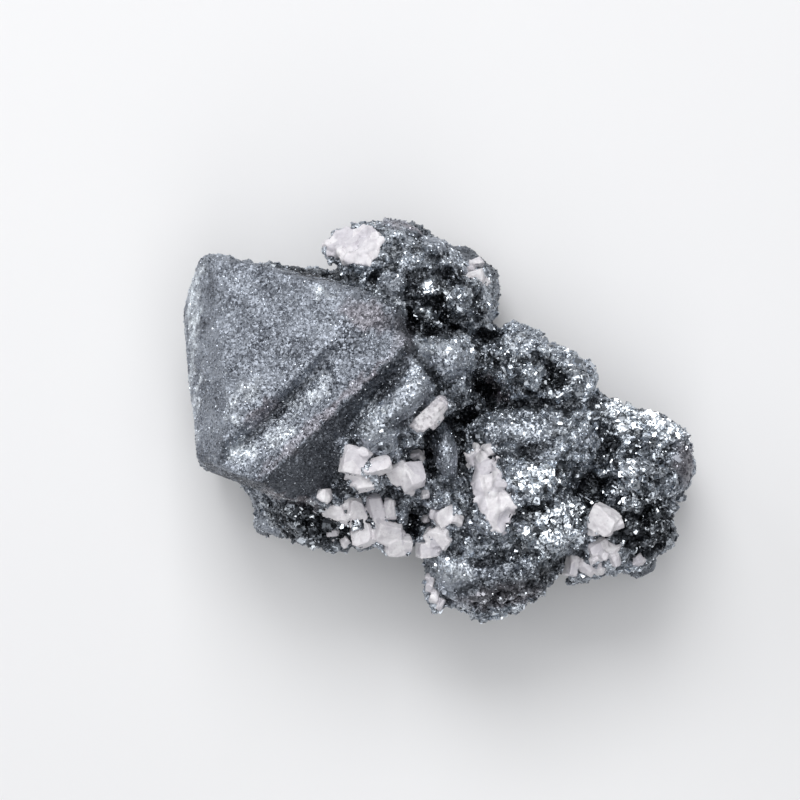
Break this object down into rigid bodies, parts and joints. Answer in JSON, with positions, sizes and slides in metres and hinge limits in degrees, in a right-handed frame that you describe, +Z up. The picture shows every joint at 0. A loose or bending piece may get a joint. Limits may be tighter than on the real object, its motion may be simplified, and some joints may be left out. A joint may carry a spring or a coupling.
{
  "type": "hematite pseudomorph specimen",
  "caption": "Hand-sized hematite pseudomorph after magnetite: a large octahedral crystal grown together with a knobbly druse, with white crystals, lying on its back.",
  "frame": {"origin": "middle of the specimen's box, on the surface it lies on", "axes": "+X along the specimen's length towards its knobbly end, +Y towards the top lobe, +Z up, towards the side with the large crystal's clean faces"},
  "size_m": [0.0498, 0.0394, 0.0254],
  "materials": {
    "hematite": "dark blue-grey iron oxide with a metallic glitter",
    "white_mineral": "milky white, satin on cleavage faces"
  },
  "bodies": {
    "root": {"hematite_cluster": "hematite", "white_top_patch": "white_mineral", "white_top_chunk": "white_mineral", "white_blade": "white_mineral", "white_upper_left": "white_mineral", "white_middle_left": "white_mineral", "white_low_row": "white_mineral", "white_lower_middle": "white_mineral", "white_centre": "white_mineral", "white_front_sliver": "white_mineral", "white_right_upper": "white_mineral", "white_right_lower": "white_mineral"}
  },
  "joints": []
}
